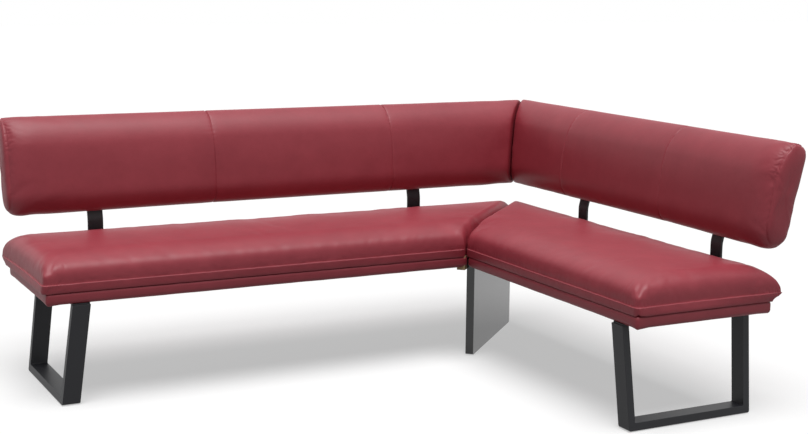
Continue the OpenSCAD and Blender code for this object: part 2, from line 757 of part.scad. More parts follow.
module long_front_rail() { color(bare_wood) on_long() front_rail(long_base_end, cleat_face); }
module long_back_rail() { color(bare_wood) on_long() back_rail(long_base_end, cleat_face); }
module long_end_rail() { color(bare_wood) on_long() end_rail(long_base_end); }
module long_cross_rails() {
  color(bare_wood) on_long() cross_rails(long_base_end, cleat_face, long_strut_u, long_plate_u);
}
module short_front_rail() { color(bare_wood) on_short() front_rail(short_base_end, mitre_rail_face); }
module short_back_rail() { color(bare_wood) on_short() back_rail(short_base_end, mitre_rail_face); }
module short_end_rail() { color(bare_wood) on_short() end_rail(short_base_end); }
module short_cross_rails() {
  color(bare_wood)
    on_short() cross_rails(short_base_end, mitre_rail_face, short_strut_u, short_plate_u);
}
module short_mitre_rail() {
  color(bare_wood) mitre_rail(-mitre_rail_face, -short_face, rail_z, rail_top);
}
module corner_cleat() {
  color(bare_wood) mitre_rail(long_face, cleat_face, base_z - cleat_drop, rail_top);
}

module long_webbing() { color(cloth) on_long() webbing(long_base_end, cleat_face); }
module short_webbing() { color(cloth) on_short() webbing(short_base_end, mitre_rail_face); }
module long_lining() {
  color(cloth) on_long() lining(long_base_end, cleat_face, long_strut_u, long_plate_u);
}
module short_lining() {
  color(cloth) on_short() lining(short_base_end, mitre_rail_face, short_strut_u, short_plate_u);
}

module long_back_cushion() {
  color(leather)
    on_long() back_cushion(long_back_end, long_back_gap, [long_seam_corner, long_seam_end], long_strut_u);
}
module short_back_cushion() {
  color(leather)
    on_short()
      back_cushion(short_back_end, short_back_gap, [short_seam_corner, short_seam_end], short_strut_u);
}
module long_back_board() { color(bare_wood) on_long() back_board(long_back_end, long_strut_u); }
module short_back_board() { color(bare_wood) on_short() back_board(short_back_end, short_strut_u); }

module long_end_strut() { color(metal) on_long() strut(long_strut_u); }
module long_corner_strut() { color(metal) on_long() strut(-corner_strut); }
module short_corner_strut() { color(metal) on_short() strut(-corner_strut); }
module short_end_strut() { color(metal) on_short() strut(short_strut_u); }

module strut_screws() {
  color(steel) {
    on_long() foot_screw_set(long_strut_u, 0);
    on_short() foot_screw_set(short_strut_u, 0);
  }
}
module board_bolts() {
  color(steel) {
    on_long() leaning() for (u = [-corner_strut, long_strut_u]) strut_bolts(u, 0);
    on_short() leaning() for (u = [-corner_strut, short_strut_u]) strut_bolts(u, 0);
  }
}

module long_sled_frame() { color(metal) on_long() sled_frame(long_plate_u); }
module short_sled_frame() { color(metal) on_short() sled_frame(short_plate_u); }
module long_sled_plate() { color(metal) on_long() sled_plate(long_plate_u); }
module short_sled_plate() { color(metal) on_short() sled_plate(short_plate_u); }
module sled_screws() {
  color(steel) {
    on_long() plate_screw_set(long_plate_u, 0);
    on_short() plate_screw_set(short_plate_u, 0);
  }
}
module long_sled_glides() { color(pad) on_long() sled_glides(long_plate_u); }
module short_sled_glides() { color(pad) on_short() sled_glides(short_plate_u); }

// Board under the corner, which reaches up between the two seat frames
module corner_panel() {
  color(lacquer) difference() {
    on_diagonal() translate([0, long_face, 0]) rotate([90, 0, 0])
      linear_extrude(panel_t) polygon(concat(
        [[panel_front, base_z + panel_up]],
        arc([panel_front + panel_r, glide_h + panel_r], panel_r, 180, 270, 5),
        arc([panel_front + panel_len - panel_r, glide_h + panel_r], panel_r, 270, 360, 5),
        [[panel_front + panel_len, base_z + panel_up]]));
    corner_bores(clear);
  }
}

// Bolts through cleat, panel and mitre rail, each with two washers, a head and a nut
module corner_bolts() {
  color(steel) on_diagonal()
    for (r = bolt_places)
      translate([r, cleat_face, bolt_z]) rotate([90, 0, 0]) {
        cylinder(h = cleat_face + mitre_rail_face + washer_t + nut_h,
          r = panel_bolt_d / 2, $fn = small_fn);
        translate([0, 0, -washer_t]) cylinder(h = washer_t, r = washer_d / 2, $fn = small_fn);
        translate([0, 0, -washer_t - nut_h]) cylinder(h = nut_h + 0.5, r = nut_d / 2, $fn = 6);
        translate([0, 0, cleat_face + mitre_rail_face]) {
          cylinder(h = washer_t, r = washer_d / 2, $fn = small_fn);
          translate([0, 0, washer_t]) cylinder(h = nut_h, r = nut_d / 2, $fn = 6);
        }
      }
}

module panel_glides() {
  color(pad) on_diagonal()
    for (r = [panel_front + 2 * glide_d, panel_front + panel_len - 2 * glide_d])
      translate([r, -panel_shift, 0]) glide();
}

long_seat_cushion();
short_seat_cushion();
long_base_cover();
short_base_cover();
long_front_rail();
long_back_rail();
long_end_rail();
long_cross_rails();
short_front_rail();
short_back_rail();
short_end_rail();
short_cross_rails();
short_mitre_rail();
corner_cleat();
long_webbing();
short_webbing();
long_lining();
short_lining();
long_back_cushion();
short_back_cushion();
long_back_board();
short_back_board();
long_end_strut();
long_corner_strut();
short_corner_strut();
short_end_strut();
strut_screws();
board_bolts();
long_sled_frame();
short_sled_frame();
long_sled_plate();
short_sled_plate();
sled_screws();
long_sled_glides();
short_sled_glides();
corner_panel();
corner_bolts();
panel_glides();
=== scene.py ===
"""A corner bench in dark red leather on black steel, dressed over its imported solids."""

import json
import math

import bmesh
import bpy
import numpy as np
from bpy.props import FloatProperty, FloatVectorProperty, PointerProperty
from mathutils import Matrix, Vector, noise
from mathutils.bvhtree import BVHTree


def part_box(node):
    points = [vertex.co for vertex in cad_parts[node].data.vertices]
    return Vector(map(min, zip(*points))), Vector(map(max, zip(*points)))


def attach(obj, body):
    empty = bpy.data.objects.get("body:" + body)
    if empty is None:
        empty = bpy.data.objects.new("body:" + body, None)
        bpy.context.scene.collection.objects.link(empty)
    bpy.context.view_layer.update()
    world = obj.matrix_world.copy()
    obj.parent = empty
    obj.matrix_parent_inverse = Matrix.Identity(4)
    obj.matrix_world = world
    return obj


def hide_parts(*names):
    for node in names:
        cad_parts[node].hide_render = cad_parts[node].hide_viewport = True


bl_info = {
    "name": "Corner bench",
    "version": (1, 0, 0),
    "blender": (4, 5, 0),
    "location": "View3D > Sidebar > Bench",
    "description": "Builds an upholstered corner bench around its solids",
    "category": "Object",
}

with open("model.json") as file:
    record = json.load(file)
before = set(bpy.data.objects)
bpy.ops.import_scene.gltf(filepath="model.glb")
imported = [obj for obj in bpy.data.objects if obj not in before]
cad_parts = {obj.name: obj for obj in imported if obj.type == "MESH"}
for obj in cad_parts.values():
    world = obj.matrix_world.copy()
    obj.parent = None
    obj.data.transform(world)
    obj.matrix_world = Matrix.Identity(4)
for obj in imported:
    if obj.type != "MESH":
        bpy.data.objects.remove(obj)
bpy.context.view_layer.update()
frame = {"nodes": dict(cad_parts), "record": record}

MM = 0.001
DIAGONAL = math.sqrt(2)

# Where the solids stand
BASE_LOW, BASE_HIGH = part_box("long_base_cover")
CORNER_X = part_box("short_base_cover")[0].x
CORNER_Y = BASE_LOW.y
BASE_Z = BASE_LOW.z
BASE_TOP = BASE_HIGH.z
SEAT_DEPTH = BASE_HIGH.y - BASE_LOW.y
SEAT_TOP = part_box("long_seat_cushion")[1].z
BACK_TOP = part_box("long_back_cushion")[1].z


class Side:
    """One leg of the bench: u runs from the inner corner to the free end, s from front to back."""

    def __init__(self, name, mirrored, gap, back_gap):
        self.name = name
        self.mirrored = mirrored
        self.gap = gap
        self.back_gap = back_gap
        self.end = self.reach("seat_cushion")
        self.back_end = self.reach("back_cushion")
        self.base_end = self.reach("base_cover")

    def reach(self, part):
        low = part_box(f"{self.name}_{part}")[0]
        return CORNER_X - low.x if self.mirrored else CORNER_Y - low.y

    def place(self, u, s, z):
        if self.mirrored:
            return Vector((CORNER_X - u, CORNER_Y + s, z))
        return Vector((CORNER_X + s, CORNER_Y - u, z))

    def turn(self):
        """The matrix that puts a mesh drawn in u, s and z in its place."""
        if self.mirrored:
            rows = ((-1, 0, 0, CORNER_X), (0, 1, 0, CORNER_Y), (0, 0, 1, 0), (0, 0, 0, 1))
        else:
            rows = ((0, 1, 0, CORNER_X), (-1, 0, 0, CORNER_Y), (0, 0, 1, 0), (0, 0, 0, 1))
        return Matrix(rows)


LONG = Side("long", True, 11 * MM, 15 * MM)
SHORT = Side("short", False, -7 * MM, -11 * MM)
SIDES = (LONG, SHORT)


class BenchSizes(bpy.types.PropertyGroup):
    band_height: FloatProperty(
        name="Band height", description="Height of the padded band under the seat's seam",
        default=26 * MM, unit="LENGTH")
    band_out: FloatProperty(
        name="Band", description="How far the padded band stands past the pillow above it",
        default=5 * MM, unit="LENGTH")
    ear: FloatProperty(
        name="Back corners", description="How far the back corners of a seat reach past its back seam",
        default=37 * MM, unit="LENGTH")
    undulation: FloatProperty(
        name="Undulation", description="Height of the slow waves in the leather",
        default=1.5 * MM, unit="LENGTH")
    pucker: FloatProperty(
        name="Puckers", description="Height of the small folds along the seams",
        default=1.2 * MM, unit="LENGTH")
    back_line: FloatProperty(
        name="Strut line", description="Distance of the backrest's own line from the front of the base",
        default=550.47 * MM, unit="LENGTH")
    back_start: FloatProperty(
        name="Backrest height", description="Height at which the backrest's own line starts",
        default=565 * MM, unit="LENGTH")
    lean: FloatProperty(
        name="Lean", description="Lean of the backrest from upright",
        default=math.radians(14), subtype="ANGLE")
    stitch_pitch: FloatProperty(
        name="Stitch pitch", description="Distance from one stitch to the next",
        default=6.2 * MM, unit="LENGTH")
    stitch_width: FloatProperty(
        name="Thread", description="Thickness of the sewing thread",
        default=1.5 * MM, unit="LENGTH")
    edge: FloatProperty(
        name="Steel edges", description="Rounding of the steel's edges",
        default=1.0 * MM, unit="LENGTH")


class BenchColours(bpy.types.PropertyGroup):
    leather: FloatVectorProperty(
        name="Leather", description="Colour of the hide",
        default=(0.292, 0.029, 0.045), subtype="COLOR")
    leather_light: FloatVectorProperty(
        name="Worn leather", description="Colour of the hide where it is stretched",
        default=(0.372, 0.047, 0.066), subtype="COLOR")
    thread: FloatVectorProperty(
        name="Thread", description="Colour of the sewing thread",
        default=(0.62, 0.20, 0.23), subtype="COLOR")
    metal: FloatVectorProperty(
        name="Metal", description="Colour of the powder coat",
        default=(0.017, 0.0175, 0.021), subtype="COLOR")
    board: FloatVectorProperty(
        name="Board", description="Colour of the lacquered board",
        default=(0.010, 0.0105, 0.012), subtype="COLOR")
    wood: FloatVectorProperty(
        name="Wood", description="Colour of the bare wood",
        default=(0.58, 0.40, 0.22), subtype="COLOR")


# Materials


class Wire:
    """A value in a material, with the usual sums."""

    def __init__(self, recipe, socket):
        self.recipe = recipe
        self.socket = socket

    def sum(self, operation, *values):
        return self.recipe.node("ShaderNodeMath", {"operation": operation}, dict(enumerate(values)))

    def __add__(self, other):
        return self.sum("ADD", self, other)

    def __radd__(self, other):
        return self.sum("ADD", other, self)

    def __sub__(self, other):
        return self.sum("SUBTRACT", self, other)

    def __rsub__(self, other):
        return self.sum("SUBTRACT", other, self)

    def __mul__(self, other):
        return self.sum("MULTIPLY", self, other)

    def __rmul__(self, other):
        return self.sum("MULTIPLY", other, self)

    def clamp(self):
        return self.sum("MINIMUM", self.sum("MAXIMUM", self, 0.0), 1.0)


class Recipe:
    """The nodes of a material or of the room's light."""

    def __init__(self, owner, output="ShaderNodeOutputMaterial"):
        owner.use_nodes = True
        self.owner = owner
        self.tree = owner.node_tree
        self.tree.nodes.clear()
        self.output = self.tree.nodes.new(output)

    def node(self, kind, settings=None, values=None, out=0):
        made = self.tree.nodes.new(kind)
        for key, value in (settings or {}).items():
            setattr(made, key, value)
        for key, value in (values or {}).items():
            self.feed(made.inputs[key], value)
        return Wire(self, made.outputs[out])

    def feed(self, socket, value):
        if isinstance(value, Wire):
            self.tree.links.new(value.socket, socket)
        elif value is not None:
            socket.default_value = value

    def place(self, scale=(1, 1, 1), turn=(0, 0, 0)):
        where = self.node("ShaderNodeTexCoord", out="Object")
        return self.node("ShaderNodeMapping", {}, {"Vector": where, "Scale": scale, "Rotation": turn})

    def noise(self, where, scale, detail=2.0, roughness=0.5):
        values = {"Vector": where, "Scale": scale, "Detail": detail, "Roughness": roughness}
        return self.node("ShaderNodeTexNoise", {}, values)

    def cells(self, where, scale):
        return self.node("ShaderNodeTexVoronoi", {"feature": "F1"}, {"Vector": where, "Scale": scale})

    def blend(self, share, first, second):
        return self.node("ShaderNodeMix", {"data_type": "RGBA"}, {0: share, 6: first, 7: second}, out=2)

    def bump(self, height, distance, strength=1.0, after=None):
        values = {"Height": height, "Distance": distance, "Strength": strength, "Normal": after}
        return self.node("ShaderNodeBump", {}, values)

    def white_seen(self):
        """1 for the camera and for reflections, which see the white background, and 0 for other rays."""
        seen = self.node("ShaderNodeLightPath", out="Is Camera Ray")
        mirrored = self.node("ShaderNodeLightPath", out="Is Glossy Ray")
        return (seen + mirrored).clamp()

    def end(self, shader):
        self.feed(self.output.inputs[0], shader)
        return self.owner

    def finish(self, **values):
        values = {key.replace("_", " "): value for key, value in values.items()}
        return self.end(self.node("ShaderNodeBsdfPrincipled", {}, values))


def material_recipe(name):
    return Recipe(bpy.data.materials.new(name))


def opaque(colour, tone=1.0):
    return (*(tone * c for c in colour), 1.0)


def leather_material(name, colours, tone=1.0):
    recipe = material_recipe(name)
    where = recipe.place()
    cloud = recipe.noise(where, 2.6, 3.0)
    patch = recipe.noise(where, 10.0, 4.0, 0.6)
    mottle = recipe.noise(where, 34.0, 4.0, 0.6)
    share = (cloud * 1.1 + patch * 1.3 + mottle * 0.6 - 1.04).clamp()
    pores = recipe.cells(where, 620.0)
    grain = recipe.noise(where, 210.0, 3.0, 0.6)
    colour = recipe.blend(share, opaque(colours.leather, tone), opaque(colours.leather_light, tone))
    colour = recipe.blend((0.42 - pores).clamp() * 0.5, colour, opaque(colours.leather, 0.5 * tone))
    creases = recipe.noise(recipe.place((1, 1, 2.2)), 17.0, 5.0, 0.62)
    skin = recipe.bump(pores * 0.6 + grain * 0.4, 0.25 * MM, 0.3)
    folds = recipe.bump(creases, 2.0 * MM, 0.2, skin)
    rough = 0.40 + mottle * 0.10 + grain * 0.05
    return recipe.finish(Base_Color=colour, Roughness=rough, Normal=folds, Specular_IOR_Level=0.5)


def thread_material(colours):
    recipe = material_recipe("thread")
    where = recipe.place()
    twist = recipe.noise(where, 900.0, 1.0)
    colour = recipe.blend(twist, opaque(colours.thread, 0.75), opaque(colours.thread))
    return recipe.finish(
        Base_Color=colour, Roughness=0.62 + twist * 0.1, Normal=recipe.bump(twist, 0.2 * MM, 0.6))


def coat_material(colours):
    recipe = material_recipe("powder_coat")
    where = recipe.place()
    speck = recipe.noise(where, 900.0, 2.0)
    cloud = recipe.noise(where, 6.0, 2.0)
    colour = recipe.blend(cloud, opaque(colours.metal, 0.8), opaque(colours.metal, 1.25))
    return recipe.finish(
        Base_Color=colour, Roughness=0.36 + speck * 0.14, Normal=recipe.bump(speck, 0.12 * MM, 0.5),
        Specular_IOR_Level=0.4)


def board_material(colours):
    recipe = material_recipe("lacquered_board")
    where = recipe.place()
    haze = recipe.noise(where, 3.0, 1.0)
    peel = recipe.noise(where, 160.0, 1.0)
    colour = recipe.blend(haze, opaque(colours.board, 0.85), opaque(colours.board, 1.15))
    return recipe.finish(
        Base_Color=colour, Roughness=0.22 + haze * 0.05, Normal=recipe.bump(peel, 0.05 * MM, 0.12),
        Specular_IOR_Level=0.4, Coat_Weight=1.0, Coat_Roughness=0.12)


def wood_material(name, colours, turn, tone=1.0):
    recipe = material_recipe(name)
    along = recipe.place((1.2, 22, 22), turn)
    rings = recipe.noise(along, 3.0, 5.0, 0.6)
    pores = recipe.noise(along, 26.0, 3.0)
    share = (rings * 1.5 - 0.3).clamp()
    colour = recipe.blend(share, opaque(colours.wood, 0.62 * tone), opaque(colours.wood, tone))
    return recipe.finish(
        Base_Color=colour, Roughness=0.62 + pores * 0.16, Normal=recipe.bump(pores + rings, 0.5 * MM, 0.4))


def cloth_material(name, shade, threads):
    recipe = material_recipe(name)
    where = recipe.place()
    values = {"Vector": where, "Scale": threads, "Distortion": 0.4}
    warp, weft = (recipe.node("ShaderNodeTexWave", {"bands_direction": way}, values) for way in "XY")
    fuzz = recipe.noise(where, 300.0, 2.0)
    weave = warp * weft + fuzz * 0.3
    colour = recipe.blend(weave.clamp(), opaque(shade, 0.6), opaque(shade))
    return recipe.finish(Base_Color=colour, Roughness=0.85, Normal=recipe.bump(weave, 0.3 * MM, 0.6))


def zinc_material():
    recipe = material_recipe("zinc")
    where = recipe.place()
    spangle = recipe.noise(where, 420.0, 3.0)
    colour = recipe.blend(spangle, opaque((0.46, 0.47, 0.48)), opaque((0.64, 0.65, 0.66)))
    return recipe.finish(
        Base_Color=colour, Metallic=1.0, Roughness=0.28 + spangle * 0.18,
        Normal=recipe.bump(spangle, 0.05 * MM, 0.4))


def glide_material():
    recipe = material_recipe("glide_plastic")
    where = recipe.place()
    speck = recipe.noise(where, 500.0, 2.0)
    colour = recipe.blend(speck, opaque((0.62, 0.61, 0.57)), opaque((0.72, 0.71, 0.67)))
    return recipe.finish(
        Base_Color=colour, Roughness=0.5 + speck * 0.1, Normal=recipe.bump(speck, 0.1 * MM, 0.3))


# Small tools for every piece

AIR_PRESSURE = 4.0
# Below 0, so that the leather grows a little
CLOTH_SHRINK = -0.01
CLOTH_FRAMES = 20
# What is left of the movement after these rounds of smoothing is taken away, and only the small folds stay
FOLD_ROUNDS = 24
FOLD_CAP = 2 * MM
GROOVE_WIDTH = 0.22


def numbered(bm):
    """The same mesh, numbered by the places of its corners, so that every run numbers it alike."""
    made = bmesh.new()
    spots = [(old, made.verts.layers.float.new(name)) for name, old in bm.verts.layers.float.items()]
    lines = [(old, made.edges.layers.float.new(name)) for name, old in bm.edges.layers.float.items()]
    for i, v in enumerate(sorted(bm.verts, key=lambda v: tuple(v.co))):
        v.index = i
        copy = made.verts.new(v.co)
        for old, new in spots:
            copy[new] = v[old]
    made.verts.ensure_lookup_table()
    for ends, e in sorted((sorted(v.index for v in e.verts), e) for e in bm.edges):
        copy = made.edges.new([made.verts[i] for i in ends])
        for old, new in lines:
            copy[new] = e[old]
    rings = []
    for f in bm.faces:
        ring = [v.index for v in f.verts]
        first = ring.index(min(ring))
        rings.append(ring[first:] + ring[:first])
    for ring in sorted(rings):
        made.faces.new([made.verts[i] for i in ring])
    bm.free()
    return made


def finish_piece(name, bm, material, nodes):
    """Makes an object of a finished mesh, at the origin, that rides on the bench."""
    mesh = bpy.data.meshes.new(name)
    bm.to_mesh(mesh)
    bm.free()
    piece = bpy.data.objects.new(name, mesh)
    bpy.context.scene.collection.objects.link(piece)
    mesh.materials.append(material)
    for polygon in mesh.polygons:
        polygon.use_smooth = True
    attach(piece, "root")
    if nodes:
        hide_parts(*nodes)
    return piece


def soften(piece, levels):
    """Rounds a piece by subdivision and keeps the result."""
    modifier = piece.modifiers.new("rounding", "SUBSURF")
    modifier.levels = levels
    modifier.render_levels = levels
    modifier.use_limit_surface = False
    keep_shape(piece)


def keep_shape(piece):
    """Bakes a piece's modifiers into its mesh."""
    graph = bpy.context.evaluated_depsgraph_get()
    old = piece.data
    baked = bpy.data.meshes.new_from_object(piece.evaluated_get(graph))
    piece.modifiers.clear()
    piece.data = baked
    bpy.data.meshes.remove(old)


def repeated(shape, places):
    """One mesh with a copy of a small shape at each place."""
    mesh = bpy.data.meshes.new("shape")
    shape.to_mesh(mesh)
    shape.free()
    bm = bmesh.new()
    for place in places:
        count = len(bm.verts)
        bm.from_mesh(mesh)
        bm.verts.ensure_lookup_table()
        for v in bm.verts[count:]:
            v.co = place @ v.co
    bpy.data.meshes.remove(mesh)
    return bm


def corner_places(mesh):
    places = np.empty(3 * len(mesh.vertices), np.float32)
    mesh.vertices.foreach_get("co", places)
    return places.reshape(-1, 3)


def settle(piece, gain):
    """Lets air stretch the leather between its seams, and keeps the small folds that it throws."""
    scene = bpy.context.scene
    held = piece.data.attributes["held"].data
    start = corner_places(piece.data)
    group = piece.vertex_groups.new(name="held")
    for v in piece.data.vertices:
        group.add([v.index], min(1.0, held[v.index].value), "REPLACE")
    cloth = piece.modifiers.new("leather", "CLOTH")
    hide = cloth.settings
    hide.vertex_group_mass = group.name
    hide.use_pressure = True
    hide.uniform_pressure_force = AIR_PRESSURE
    hide.shrink_min = CLOTH_SHRINK
    hide.effector_weights.gravity = 0.0
    cloth.point_cache.frame_start = 1
    cloth.point_cache.frame_end = CLOTH_FRAMES
    for step in range(1, CLOTH_FRAMES + 1):
        scene.frame_set(step)
    keep_shape(piece)
    mesh = piece.data
    move = corner_places(mesh) - start
    ends = np.empty(2 * len(mesh.edges), np.int32)
    mesh.edges.foreach_get("vertices", ends)
    first, second = ends.reshape(-1, 2).T
    near = np.bincount(ends, minlength=len(move))[:, None]
    broad = move.copy()
    for _ in range(FOLD_ROUNDS):
        total = np.zeros_like(broad)
        np.add.at(total, first, broad[second])
        np.add.at(total, second, broad[first])
        broad = 0.5 * broad + 0.5 * total / near
    fold = gain * (move - broad)
    length = np.linalg.norm(fold, axis=1, keepdims=True)
    fold *= np.minimum(1.0, FOLD_CAP / np.maximum(length, 1e-9))
    mesh.vertices.foreach_set("co", (start + fold).ravel())
    mesh.update()
    piece.vertex_groups.clear()
    scene.frame_set(1)


def pucker(piece, depth, scale):
    """Small folds across a seam, where the piece's own fold value is not 0."""
    mesh = piece.data
    fold = [f.value for f in mesh.attributes["fold"].data]
    normals = [v.normal.copy() for v in mesh.vertices]
    stretch = Vector(scale)
    for v, share, normal in zip(mesh.vertices, fold, normals):
        if share > 0.01:
            groove = max(0.0, 1 - abs(wave(v.co * stretch, 1.0, 5.0)) / GROOVE_WIDTH)
            v.co -= normal * (depth * share * groove)
    mesh.update()


def next_ring(bm, edges):
    """Extrudes a closed loop of edges and returns the new loop's edges and vertices."""
    made = bmesh.ops.extrude_edge_only(bm, edges=edges)["geom"]
    verts = [g for g in made if isinstance(g, bmesh.types.BMVert)]
    fresh = set(verts)
    outer = [g for g in made if isinstance(g, bmesh.types.BMEdge) and all(v in fresh for v in g.verts)]
    return outer, verts


def eased_fall(t, share):
    """0 at the ends of a line, 1 past its falls; the share is that of one fall."""
    near = min(t, 1 - t) / share
    return 1.0 if near >= 1 else 1 - math.cos(math.pi / 2 * near)


def station(t, share, low, high, low_fall, high_fall):
    """The place at t on a line whose ends are drawn closer together."""
    if t < share:
        return low + low_fall * eased_fall(t, share)
    if t > 1 - share:
        return high - high_fall * eased_fall(t, share)
    middle = (t - share) / (1 - 2 * share)
    return low + low_fall + (high - low - low_fall - high_fall) * middle


def soft_least(values, power):
    total = sum(max(v, 0.0001) ** -power for v in values)
    return (1 - len(values) + total) ** (-1 / power)


def wave(point, scale, seed):
    """A slow wave between -1 and 1."""
    return noise.noise(point * scale + Vector((seed, seed * 1.7, seed * 0.3)))


# Seat cushions

# How far the seam lies inside the base in front and behind, and inside the free end, whose middle is drawn in more
SEAM_IN = 2.5 * MM
BACK_SEAM_IN = 8 * MM
END_IN = 9 * MM
END_DRAW = 8 * MM
EAR_LENGTH = 210 * MM
# Widths over which the crown falls to the edges, and the shares of the grid that they take each way
MITRE_FALL = 36 * MM
FRONT_FALL = 165 * MM
BACK_FALL = 80 * MM
END_FALL = 90 * MM
SHARE_U = 0.20
SHARE_S = 0.38
# How fast the crown falls to each edge: at the mitre, the free end, the front and the back
FULLNESS = ((2.4, 2.0), (2.3, 3.8), (2.0, 4.0), (2.4, 2.0))
CORNER_FULLNESS = 3.0
# Radius of the free end's front corner, of its seam and of the pillow over it
SEAM_CORNER = 20 * MM
PILLOW_CORNER = 50 * MM
LEAST_CORNER = 0.35
# Length from the mitre over which the band grows to its full reach, and the share of it at the mitre
BAND_START = 30 * MM
BAND_SHARE = 0.55
OVERHANG = 6 * MM
# Places on the leather from edge to edge: along a metre of the side, past that, and from front to back
GRID_ALONG = 44
GRID_MORE = 20
GRID_ACROSS = 34
SEAT_FOLDS = 0.32
# Rings of the band from the seam down: share of its height and a drop, share of its reach and a step out,
# share of the drawn-out corners, share of the folds
BAND_RINGS = (
    (1.0, 0.2 * MM, 0.35, 0, 1.0, 0.9),
    (1.0, 0.5 * MM, 0.80, 0, 0.99, 1.0),
    (1.0, 1.6 * MM, 0.97, 0, 0.97, 1.0),
    (1.0, 3.6 * MM, 1.0, 0, 0.93, 0.6),
    (0.55, 0, 0.98, 0, 0.6, 0.15),
    (0.26, 0, 1.0, 0, 0.2, 0.2),
    (0.10, 0, 0.86, 0, 0.05, 0.3),
    (0.03, 0, 0.40, 0, 0, 0),
    (0.02, 0, -1.2, 0, 0, 0),
    (0.02, 0, 0, -40 * MM, 0, 0),
)


class Seat:
    """The form of one seat cushion."""

    def __init__(self, side, sizes):
        self.side = side
        self.sizes = sizes
        self.seam_z = BASE_TOP + sizes.band_height

    def pull(self, distance):
        return max(0.0, 1 - distance / EAR_LENGTH) ** 2

    def plan(self, a, b, out, share):
        """The point of the outline at a along the side and b from front to back."""
        side = self.side
        full = side.end + SEAT_DEPTH / 2
        near = station(a, SHARE_U, 0, full, MITRE_FALL * DIAGONAL, END_FALL)
        pulled = share * self.sizes.ear * (self.pull(full - near) + self.pull(near) / 3)
        s0 = SEAM_IN - out * min(1.0, BAND_SHARE + near / BAND_START) - pulled / 12
        s1 = SEAT_DEPTH - BACK_SEAM_IN + out + pulled
        s = station(b, SHARE_S, s0, s1, FRONT_FALL, BACK_FALL + pulled)
        t = (s - s0) / (s1 - s0)
        tip = share * (END_IN * t - END_DRAW * 4 * t * (1 - t))
        u0 = side.gap * DIAGONAL - s
        u1 = min(side.end, side.end - END_IN + tip + out)
        u = station(a, SHARE_U, u0, u1, MITRE_FALL * DIAGONAL, END_FALL)
        x, y = 1 - (s - s0) / SEAM_CORNER, 1 - (u1 - u) / SEAM_CORNER
        if x > 0 and y > 0:
            s = s0 + SEAM_CORNER * (1 - x * math.sqrt(1 - y * y / 2))
            u = u1 - SEAM_CORNER * (1 - y * math.sqrt(1 - x * x / 2))
        return u, s

    def crown(self, a, b):
        falls = [
            eased_fall(min(a, 0.5), SHARE_U),
            eased_fall(max(a, 0.5), SHARE_U),
            eased_fall(min(b, 0.5), SHARE_S),
            eased_fall(max(b, 0.5), SHARE_S),
        ]
        end, front = falls[1] * END_FALL, falls[2] * FRONT_FALL
        x, y = 1 - end / PILLOW_CORNER, 1 - front / PILLOW_CORNER
        if x > 0 and y > 0:
            round_off = math.hypot(x, y) / (x ** 6 + y ** 6) ** (1 / 6)
            falls[1] = max(PILLOW_CORNER * (1 - x * round_off), LEAST_CORNER * end) / END_FALL
            falls[2] = max(PILLOW_CORNER * (1 - y * round_off), LEAST_CORNER * front) / FRONT_FALL
        edges = [max(0.0, 1 - (1 - f) ** n) ** (1 / m) for f, (n, m) in zip(falls, FULLNESS)]
        return (SEAT_TOP - self.seam_z) * soft_least(edges, CORNER_FULLNESS)


def seat_cushion(side, sizes, material):
    form = Seat(side, sizes)
    bm = bmesh.new()
    plan = bm.verts.layers.float_vector.new("plan")
    fold = bm.verts.layers.float.new("fold")
    held = bm.verts.layers.float.new("held")
    crease = bm.edges.layers.float.new("crease_edge")
    columns = round(GRID_ALONG * side.end) + GRID_MORE
    bmesh.ops.create_grid(bm, x_segments=columns, y_segments=GRID_ACROSS, size=1.0)
    for v in bm.verts:
        a, b = (v.co.x + 1) / 2, (v.co.y + 1) / 2
        v[plan] = (a, b, 0)
        u, s = form.plan(a, b, 0, 1)
        rise = form.crown(a, b)
        level = rise / (SEAT_TOP - form.seam_z)
        ripple = sizes.undulation * level * wave(Vector((u, s, 0)), 5.5, 3.0)
        v.co = (u, s, form.seam_z + rise + ripple - sizes.undulation * level * 0.6)
        v[held] = max(0.2, min(1.0, 1.6 * (1 - level)))
        v[fold] = max(0.0, 1 - level / 0.45) ** 2
    edges = [e for e in bm.edges if e.is_boundary]
    for part, drop, reach, step, share, folds in BAND_RINGS:
        height = part * sizes.band_height - drop
        bulge = reach * sizes.band_out + step
        edges, verts = next_ring(bm, edges)
        for v in verts:
            u, s = form.plan(v[plan].x, v[plan].y, bulge, share)
            hangs = part < 0.2 and (s < 3 * MM or u > side.base_end + 1 * MM)
            v.co = (u, s, BASE_TOP + height - (OVERHANG if hangs else 0))
            v[fold] = folds
            v[held] = 1.0
            if v[plan].x > 0.999 and v[plan].y > 0.999:
                for e in v.link_edges:
                    e[crease] = 0.7
    bmesh.ops.holes_fill(bm, edges=edges, sides=0)
    bmesh.ops.transform(bm, matrix=side.turn(), verts=bm.verts)
    bmesh.ops.recalc_face_normals(bm, faces=bm.faces)
    nodes = [f"{side.name}_seat_cushion"]
    piece = finish_piece(f"{side.name}_seat_leather", numbered(bm), material, nodes)
    soften(piece, 1)
    settle(piece, SEAT_FOLDS)
    soften(piece, 1)
    pucker(piece, sizes.pucker, (72, 72, 30))
    return form, piece


